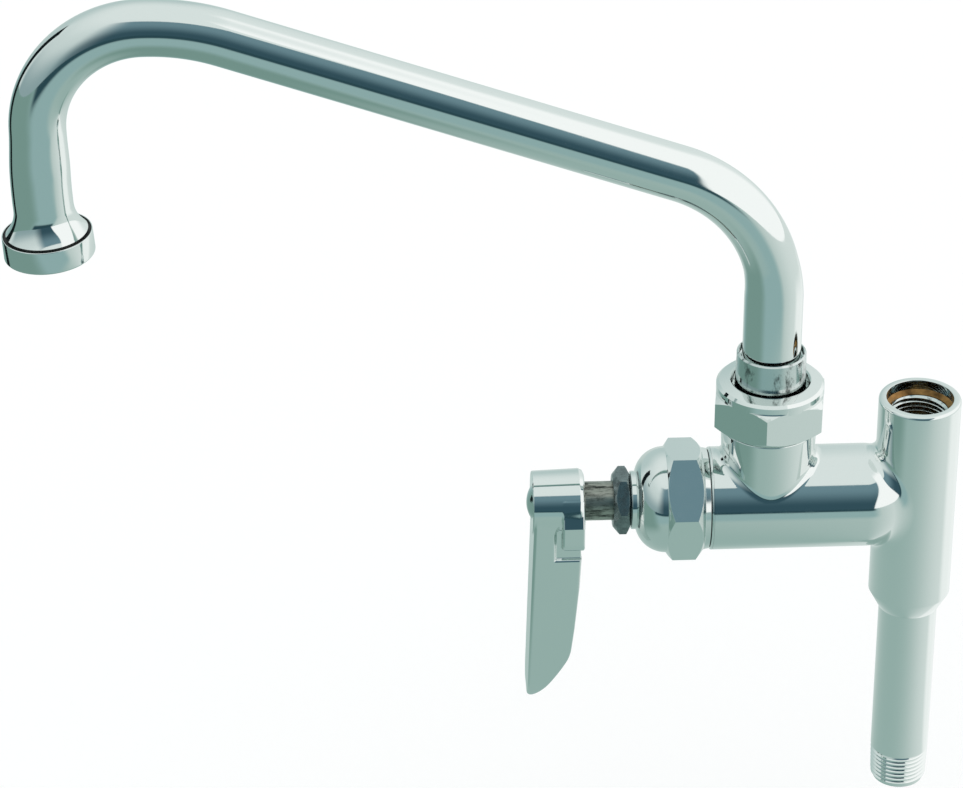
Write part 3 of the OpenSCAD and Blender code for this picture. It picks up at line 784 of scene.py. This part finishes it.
def outline_form(across, up, corners):
    """Distance from points in a plane to a closed outline, negative inside it."""
    nearest = np.full(len(across), np.inf)
    inside = np.zeros(len(across), bool)
    for (x0, y0), (x1, y1) in zip(corners, corners[1:] + corners[:1]):
        dx, dy = x1 - x0, y1 - y0
        px, py = across - x0, up - y0
        along = np.clip((px * dx + py * dy) / (dx * dx + dy * dy), 0, 1)
        nearest = np.minimum(nearest, (px - along * dx) ** 2 + (py - along * dy) ** 2)
        if dy:
            inside ^= ((y0 <= up) != (y1 <= up)) & (px < py * dx / dy)
    return np.where(inside, -1, 1) * np.sqrt(nearest)


def box_form(p, low, high):
    """Distance to a box, exact near its faces."""
    return np.maximum(np.array(low) - p, p - np.array(high)).max(axis=1)


def lever_form(points):
    """The lever's surface: hub, lug and blade with rounded edges, a groove round the lug, and
    the bores for the spindle, its screw and the button."""
    sizes = bpy.context.scene.faucet_sizes
    edge = sizes.lever_edge / MM
    p = points / MM - np.array([0, 0, AXIS_Z / MM])
    x, y, z = p.T
    radius = np.hypot(y, z)
    hub = outline_form(x, radius, HUB_OUTLINE)
    blade = trimmed(outline_form(x, z, BLADE_OUTLINE), outline_form(y, z, BLADE_SIDE), edge)
    lug = trimmed(np.abs(x - LUG_AT) - LUG_HALF, outline_form(y, z, LUG_SIDE), 0.6)
    floor = box_form(p, GROOVE_LOW, GROOVE_HIGH)
    whole = blended(blended(hub, lug, 0.5), blended(blade, floor, 0.25), 0.5)
    socket = box_form(p, (HUB_IN - SQUARE_DEPTH, -SQUARE, -SQUARE), (HUB_IN + 5, SQUARE, SQUARE))
    screw = np.maximum(radius - SCREW_R, x - HUB_IN)
    counterbore = np.maximum(radius - HEAD_R, x - HEAD_SEAT)
    recess = np.maximum(radius - BUTTON_R, x - BUTTON_SEAT)
    bores = np.minimum(np.minimum(socket, screw), np.minimum(counterbore, recess))
    return np.maximum(whole, -bores) * MM


class FAUCET_OT_lever(bpy.types.Operator):
    """Lever handle: hub with a lug, and a hanging blade with a curved cut at its tip"""
    bl_idname = "faucet.lever"
    bl_label = "Lever"

    def execute(self, context):
        sizes = context.scene.faucet_sizes
        hub_r, past, blade_at = 9.5 * MM, 12, -102.5
        hub_x = (HUB_IN + HUB_END) / 2 * MM
        hub = rod("hub", hub_r, (HUB_IN - HUB_END) * MM, (hub_x, 0, AXIS_Z), along="X")
        front = self.slab("blade_front", BLADE_OUTLINE, "Y", past)
        cut(front, self.slab("blade_side", BLADE_SIDE, "X", past, blade_at), "INTERSECT")
        lug = self.slab("lug", LUG_SIDE, "X", LUG_HALF, LUG_AT)
        floor = self.block("groove_floor", GROOVE_LOW, GROOVE_HIGH)
        lever = joined([hub, front, lug, floor], "lever")
        apply_modifier(lever, "REMESH", mode="VOXEL", voxel_size=sizes.lever_grain)
        self.bore(lever)
        sculpt(lever, lever_form, rounds=16)
        shade_from(lever, lever_form)
        place_piece(lever, "handle", "chrome", "lever_handle")
        return {"FINISHED"}

    def slab(self, name, outline, along, half, centre=0.0):
        """An outline drawn in its plane and extruded both ways."""
        place = {"Y": lambda a, b: (a, -half, b), "X": lambda a, b: (centre - half, a, b)}[along]
        reach = (0, 2 * half * MM, 0) if along == "Y" else (2 * half * MM, 0, 0)
        drawn([Vector(place(a, b)) * MM + Vector((0, 0, AXIS_Z)) for a, b in outline])
        bpy.ops.mesh.select_all(action="SELECT")
        bpy.ops.mesh.edge_face_add()
        bpy.ops.mesh.extrude_region_move(TRANSFORM_OT_translate={"value": reach})
        outward()
        return settle(bpy.context.object, name)

    def block(self, name, low, high):
        """A box between two corners, in millimetres about the barrel's axis."""
        low, high = (Vector(corner) * MM for corner in (low, high))
        return solid(name, "cube", size=1, scale=high - low,
                     location=(low + high) / 2 + Vector((0, 0, AXIS_Z)))

    def bore(self, lever):
        """Opens the hub for the button, the screw and the spindle's square end."""
        start, through = -115, -95
        for radius, end in ((SCREW_R, through), (HEAD_R, HEAD_SEAT), (BUTTON_R, BUTTON_SEAT)):
            drill = rod("drill", radius * MM, (end - start) * MM,
                        ((start + end) / 2 * MM, 0, AXIS_Z), along="X", corners=48)
            cut(lever, drill, "DIFFERENCE")
        square = self.block("drill", (HUB_IN - SQUARE_DEPTH, -SQUARE, -SQUARE),
                            (HUB_IN + 0.6, SQUARE, SQUARE))
        cut(lever, square, "DIFFERENCE")


class FAUCET_OT_spout(bpy.types.Operator):
    """Swing spout: a ring drawn up the riser, round the bends and down into the flare"""
    bl_idname = "faucet.spout"
    bl_label = "Spout"

    def execute(self, context):
        sizes = context.scene.faucet_sizes
        rise, lean = math.radians(19.5), OUTLET_LEAN
        foot, bend_z = AXIS_Z + 36 * MM, AXIS_Z + 67.4 * MM
        riser_bend, crown_bend, outlet_bend, slow_bend = 41.6 * MM, 62 * MM, 30 * MM, 150 * MM
        flat, outlet_run, flare_at = 1 * MM, 15.7 * MM, 15.6 * MM
        thin = TUBE_R - sizes.spout_waist
        turn = QUARTER - rise
        arm = (OUTLET_REACH - riser_bend * (1 - math.cos(turn)) - crown_bend * math.sin(rise) - flat
               - outlet_bend + slow_bend * (1 - math.cos(lean))
               + outlet_run * math.sin(lean)) / math.cos(rise)
        new_selection()
        bpy.ops.mesh.primitive_circle_add(vertices=96, radius=TUBE_R, location=(RISER_X, 0, foot))
        mode("EDIT")
        self.tip = Vector((RISER_X, 0, foot))
        self.heading = Vector((0, 0, 1))
        self.wide = TUBE_R
        self.advance(bend_z - foot)
        first = turn * 0.2
        self.bend(riser_bend, first, 8, thin)
        self.bend(riser_bend, turn - first, 26)
        self.advance(arm)
        self.bend(crown_bend, rise, 12)
        self.advance(flat)
        self.bend(outlet_bend, QUARTER, 40)
        slow_top = OUTLET_Z + outlet_run * math.cos(lean) + slow_bend * math.sin(lean)
        self.taper(self.tip.z - slow_top, 10, TUBE_R)
        self.bend(slow_bend, lean, 6)
        self.advance(outlet_run - flare_at)
        self.flare()
        outward()
        piece = settle(bpy.context.object, "spout")
        smooth(piece, 40)
        place_piece(piece, "spout", "chrome", "spout_tube")
        return {"FINISHED"}

    def widen(self, radius):
        if abs(radius - self.wide) > 1e-7:
            bpy.ops.transform.resize(value=[radius / self.wide] * 3, center_override=self.tip)
            self.wide = radius

    def advance(self, distance, radius=None):
        """Draws the ring on in a straight line, and widens it."""
        step = self.heading * distance
        bpy.ops.mesh.extrude_region_move(TRANSFORM_OT_translate={"value": step})
        self.tip = self.tip + step
        self.widen(radius or self.wide)

    def taper(self, distance, steps, radius):
        """A straight run that widens gently from its start to its end."""
        start = self.wide
        for k in range(1, steps + 1):
            part = k / steps
            self.advance(distance / steps, start + (radius - start) * part * part * (3 - 2 * part))

    def bend(self, radius, angle, steps, tube=None):
        """Draws the ring on round a bend towards the outlet, and narrows it on the way."""
        side = self.heading.cross(Vector((0, 1, 0))).normalized()
        centre = self.tip + side * radius
        start = self.wide
        spun = Matrix.Rotation(-angle / steps, 3, "Y")
        for k in range(1, steps + 1):
            bpy.ops.mesh.spin(steps=1, angle=angle / steps, center=centre, axis=(0, 1, 0))
            self.tip = centre + spun @ (self.tip - centre)
            self.heading = spun @ self.heading
            if tube:
                self.widen(start + (tube - start) * k / steps)

    def flare(self):
        """Hollow-cheeked flare down to the outlet ring, and back up the inside."""
        height, curve, steps = 7.6 * MM, 10.8 * MM, 14
        for k in range(1, steps + 1):
            down = height * k / steps
            self.advance(height / steps, TUBE_R + curve - math.sqrt(curve ** 2 - down ** 2))
        # Rim, spigot, mouth and the start of the bore: (distance, radius after it).
        spigot, mouth, wall = 10.85 * MM, 9.6 * MM, 1.25 * MM
        for distance, radius in ((0.3 * MM, None), (0, spigot + 0.05 * MM), (1.8 * MM, None),
                                 (0, spigot), (2.1 * MM, None), (0, mouth), (-6 * MM, None),
                                 (-6 * MM, TUBE_R - wall)):
            self.advance(distance, radius)


class FAUCET_OT_outlet_ring(bpy.types.Operator):
    """Turned ring round the outlet, and a black ring in the groove between it and the flare as
    painted shade
    """
    bl_idname = "faucet.outlet_ring"
    bl_label = "Outlet ring"

    def execute(self, context):
        low, lip, seat, top = 0.8 * MM, 2 * MM, 6 * MM, 7.6 * MM
        mouth, socket, groove = 9.4 * MM, 10.9 * MM, 12.35 * MM
        profile = [(low, mouth), (low, RING_R, 0.5 * MM), (top, RING_R - 0.1 * MM, 0.2 * MM),
                   (top, groove + 0.05 * MM, 0.1 * MM), (seat, groove), (seat, socket),
                   (lip, 10.87 * MM), (lip, mouth)]
        ring = self.leaned(turned("outlet_collar", profile, (0, 0, 0)))
        place_piece(ring, "spout", "chrome", "outlet_ring")
        # The black ring of rubber finish that fills the groove under the collar's rim is painted
        # shade: it makes the groove between collar and flare read black.
        inner, outer, face = 11.0 * MM, 12.33 * MM, 7 * MM
        shade_ring = [(seat, inner), (seat, outer), (face, outer), (face, inner)]
        place_piece(self.leaned(turned("groove_shade_ring", shade_ring, (0, 0, 0))), "spout", "rubber")
        return {"FINISHED"}

    def leaned(self, piece):
        """Stands a turned piece on the outlet's leaning axis."""
        mouth = Vector((RISER_X - OUTLET_REACH, 0, OUTLET_Z))
        piece.matrix_world = Matrix.Translation(mouth) @ Matrix.Rotation(-OUTLET_LEAN, 4, "Y")
        return settle(piece, piece.name)


class FAUCET_OT_cad_finishes(bpy.types.Operator):
    """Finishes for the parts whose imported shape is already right"""
    bl_idname = "faucet.cad_finishes"
    bl_label = "Other parts"

    def execute(self, context):
        for part in frame["record"]["subparts"]:
            shape = frame["nodes"][part["node"]]
            dress(shape, finish(part["material_slot"]))
        return {"FINISHED"}


# ---- Stage ----

PICTURE_WIDTH = 963                                  # pixels
TENT_R = 3.0
TENT_LIGHT = 1.1                                     # strength of the tent and its table


def glowing(colour_output):
    """A cloth that shines with the colour that its nodes work out."""
    tree = colour_output.id_data
    light = node(tree, "Emission", Strength=TENT_LIGHT)
    tree.links.new(colour_output, light.inputs["Color"])
    node(tree, "OutputMaterial", [("Surface", light, "Emission")])


def blank_material(name):
    material = bpy.data.materials.new(name)
    material.use_nodes = True
    material.node_tree.nodes.clear()
    return material, material.node_tree


def worked(tree, operation, *values):
    """One step of arithmetic between outputs and numbers."""
    made = node(tree, "Math", operation=operation)
    for socket, value in zip(made.inputs, values):
        if isinstance(value, (int, float)):
            socket.default_value = value
        else:
            tree.links.new(value, socket)
    return made.outputs[0]


def edge(tree, angle, low, high, rises=True):
    """A soft edge between two values: 0 to 1, or 1 to 0."""
    return ranged(tree, angle, low, high, *((0.0, 1.0) if rises else (1.0, 0.0)), smooth=True)


def both(tree, whole, *masks):
    """Where all of the masks hold."""
    for mask in masks:
        whole = worked(tree, "MULTIPLY", whole, mask)
    return whole


class FAUCET_OT_stage(bpy.types.Operator):
    """Pale floor, soft studio light, the tent that the chrome mirrors, and the camera"""
    bl_idname = "faucet.stage"
    bl_label = "Stage"

    def execute(self, context):
        self.world()
        self.floor()
        self.tent()
        self.table()
        self.black_board()
        self.camera(context)
        context.scene.view_settings.view_transform = "Standard"
        return {"FINISHED"}

    def world(self):
        """Even white light: a colour shows about as it is written."""
        world = bpy.data.worlds.new("studio")
        bpy.context.scene.world = world
        world.use_nodes = True
        tree = world.node_tree
        tree.nodes.clear()
        even = node(tree, "Background", Color=(1, 1, 1, 1))
        node(tree, "OutputWorld", [("Surface", even, "Background")])

    def floor(self):
        """A wide pale floor: white in the open, and darker where the object shades it."""
        floor = solid("floor", "plane", size=12, location=(0, 0, NIPPLE_LOW.z - 60 * MM))
        material, tree = blank_material("pale_floor")
        cloth = node(tree, "BsdfDiffuse", Color=linear("#F2F5F5"))
        path = node(tree, "LightPath")
        seen = worked(tree, "MAXIMUM", path.outputs["Is Camera Ray"], path.outputs["Is Glossy Ray"])
        seen = worked(tree, "MAXIMUM", seen, path.outputs["Is Transmission Ray"])
        # The cloth returns about nine tenths of the light; this brings it up to white.
        lift = node(tree, "Emission", Color=linear("#5F5A5A"))
        tree.links.new(seen, lift.inputs["Strength"])
        added = node(tree, "AddShader", [(0, cloth, "BSDF"), (1, lift, "Emission")])
        node(tree, "OutputMaterial", [("Surface", added, "Shader")])
        dress(floor, material)

    def tent(self):
        """A white tent round the object, which only its reflections show. It is open at the
        front, where the room behind the camera is dark, and its left wall stands in shade."""
        tent = solid("tent", "uv_sphere", segments=64, ring_count=32, radius=TENT_R,
                     location=(0, 0, AXIS_Z))
        material, tree = blank_material("tent")
        place = node(tree, "TexCoord")
        parts = node(tree, "SeparateXYZ", [("Vector", place, "Object")])
        right, back, up = parts.outputs
        # Angles round the object in degrees: 0 towards the camera, 90 to the right.
        around = worked(tree, "MULTIPLY", worked(
            tree, "ARCTAN2", right, worked(tree, "MULTIPLY", back, -1.0)), 180 / math.pi)
        height = worked(tree, "DIVIDE", worked(tree, "SUBTRACT", up, AXIS_Z), TENT_R)
        height = worked(tree, "MULTIPLY", worked(tree, "ARCSINE", height), 180 / math.pi)

        def rises(angle, low, high):
            return edge(tree, angle, low, high)

        def falls(angle, low, high):
            return edge(tree, angle, low, high, rises=False)

        roof = "#E0E7E6"
        left_half = worked(tree, "MAXIMUM", falls(around, -20, 10), rises(around, 150, 180))
        cloth = laid_over(tree, roof, "#D3DDDC", both(tree, left_half, falls(height, 35, 65)))
        back_left = worked(tree, "MAXIMUM", falls(around, -140, -118), rises(around, 168, 180))
        cloth = laid_over(tree, cloth, "#B9CAC9", both(tree, back_left, falls(height, 15, 50)))
        shaded = laid_over(tree, "#8DA3A6", "#CBD6D5", rises(height, 0, 32))
        cloth = laid_over(tree, cloth, shaded, both(
            tree, rises(around, -120, -104), falls(around, -28, -12), falls(height, 28, 48)))
        # The dark room: its right edge leans out as it goes up.
        leaning = worked(tree, "SUBTRACT", around,
                         worked(tree, "MULTIPLY", rises(height, -5, 50), 22.0))
        room = laid_over(tree, "#34505B", "#6B8892", rises(height, 8, 44))
        cloth = laid_over(tree, cloth, room, both(
            tree, rises(around, -46, -14), falls(leaning, 16, 20), falls(height, 51, 52.8)))
        cloth = laid_over(tree, cloth, "#FFFFFF", both(
            tree, rises(leaning, 17, 21), falls(around, 125, 150), falls(height, 60, 72)))
        glowing(cloth)
        self.only_mirrored(tent, material)

    def table(self):
        """The tent's round table: lit from the back right, grey-green to the front left."""
        table = solid("table", "circle", vertices=64, radius=TENT_R, fill_type="NGON",
                      location=(0, 0, NIPPLE_LOW.z - 3 * MM))
        material, tree = blank_material("table")
        place = node(tree, "TexCoord")
        level = node(tree, "VectorMath", [(0, place, "Object")], operation="MULTIPLY")
        level.inputs[1].default_value = (1, 1, 0)
        reach = node(tree, "VectorMath", [(0, level, "Vector")], operation="LENGTH")
        toward = node(tree, "VectorMath", [(0, level, "Vector")], operation="NORMALIZE")

        def side(degrees):
            """How squarely a place lies on one side: 0 towards the camera, 90 to the right."""
            turn = math.radians(degrees)
            made = node(tree, "VectorMath", [(0, toward, "Vector")], operation="DOT_PRODUCT")
            made.inputs[1].default_value = (math.sin(turn), -math.cos(turn), 0)
            return made.outputs["Value"]

        facing = side(120)
        cloth = laid_over(tree, "#98B1AC", "#D9E1DF", edge(tree, facing, -1.2, 1.2))
        distance = reach.outputs["Value"]
        dim = both(tree, edge(tree, distance, 0.2, 0.34),
                   edge(tree, facing, -0.3, 0.1, rises=False))
        cloth = laid_over(tree, cloth, "#91AEAE", dim)
        left_end = both(tree, edge(tree, distance, 0.14, 0.24), edge(tree, side(-90), 0.6, 0.9))
        cloth = laid_over(tree, cloth, "#78968F", left_end)
        near = edge(tree, distance, 0.3, 0.6, rises=False)
        cloth = laid_over(tree, cloth, "#F2F5F4", both(tree, near, edge(tree, facing, 0.75, 0.95)))
        # Beyond the tent's mouth the floor is as dark as the room.
        mouth = both(tree, edge(tree, side(-14), 0.78, 0.87), edge(tree, distance, 0.72, 1.15))
        cloth = laid_over(tree, cloth, "#2B474F", mouth)
        glowing(cloth)
        self.only_mirrored(table, material)

    def black_board(self):
        """A narrow black board that stands on the table at the left."""
        place, turn, size = (-0.46, 0.18, 0.2), math.radians(60), (0.085, 0.085, 0.42)
        new_selection()
        bpy.ops.mesh.primitive_plane_add(size=1, location=place, rotation=(QUARTER, 0, turn))
        bpy.ops.transform.resize(value=size)
        board = settle(bpy.context.object, "black_board")
        material, tree = blank_material("black_board")
        black = node(tree, "Emission", Color=linear("#10191B"))
        node(tree, "OutputMaterial", [("Surface", black, "Emission")])
        self.only_mirrored(board, material)

    def only_mirrored(self, card, material):
        """Shows a card in reflections and nowhere else."""
        card.visible_camera = card.visible_diffuse = card.visible_shadow = False
        dress(card, material)

    def camera(self, context):
        """The view: a long lens from the front, looking down on the object."""
        azimuth, pitch, focal_px = math.radians(2.644), math.radians(30.55), 4205
        data = bpy.data.cameras.new("camera")
        data.sensor_width = 36
        data.lens = focal_px / PICTURE_WIDTH * data.sensor_width
        data.clip_end = 50
        camera = bpy.data.objects.new("camera", data)
        context.scene.collection.objects.link(camera)
        camera.location = (-0.17407, -1.03393, AXIS_Z + 0.64781)
        camera.rotation_euler = (QUARTER - pitch, 0, -azimuth)
        context.scene.camera = camera


class FAUCET_PT_panel(bpy.types.Panel):
    bl_label = "Pre-rinse faucet"
    bl_idname = "FAUCET_PT_panel"
    bl_space_type = "VIEW_3D"
    bl_region_type = "UI"
    bl_category = "Faucet"

    def draw(self, context):
        for group in (context.scene.faucet_sizes, context.scene.faucet_colours):
            for prop in group.__annotations__:
                self.layout.prop(group, prop)
        for operator in OPERATORS:
            self.layout.operator(operator.bl_idname)


OPERATORS = (
    FAUCET_OT_cad_finishes,
    FAUCET_OT_casting,
    FAUCET_OT_nipple,
    FAUCET_OT_bonnet,
    FAUCET_OT_packing_nut,
    FAUCET_OT_swivel_nut,
    FAUCET_OT_lever,
    FAUCET_OT_spout,
    FAUCET_OT_outlet_ring,
    FAUCET_OT_stage,
)
CLASSES = (FaucetSizes, FaucetColours) + OPERATORS + (FAUCET_PT_panel,)


def register():
    for cls in CLASSES:
        bpy.utils.register_class(cls)
    bpy.types.Scene.faucet_sizes = bpy.props.PointerProperty(type=FaucetSizes)
    bpy.types.Scene.faucet_colours = bpy.props.PointerProperty(type=FaucetColours)


def unregister():
    del bpy.types.Scene.faucet_colours
    del bpy.types.Scene.faucet_sizes
    for cls in reversed(CLASSES):
        bpy.utils.unregister_class(cls)


def main():
    register()
    for operator in OPERATORS:
        group, name = operator.bl_idname.split(".")
        getattr(getattr(bpy.ops, group), name)()


if __name__ == "__main__":
    main()
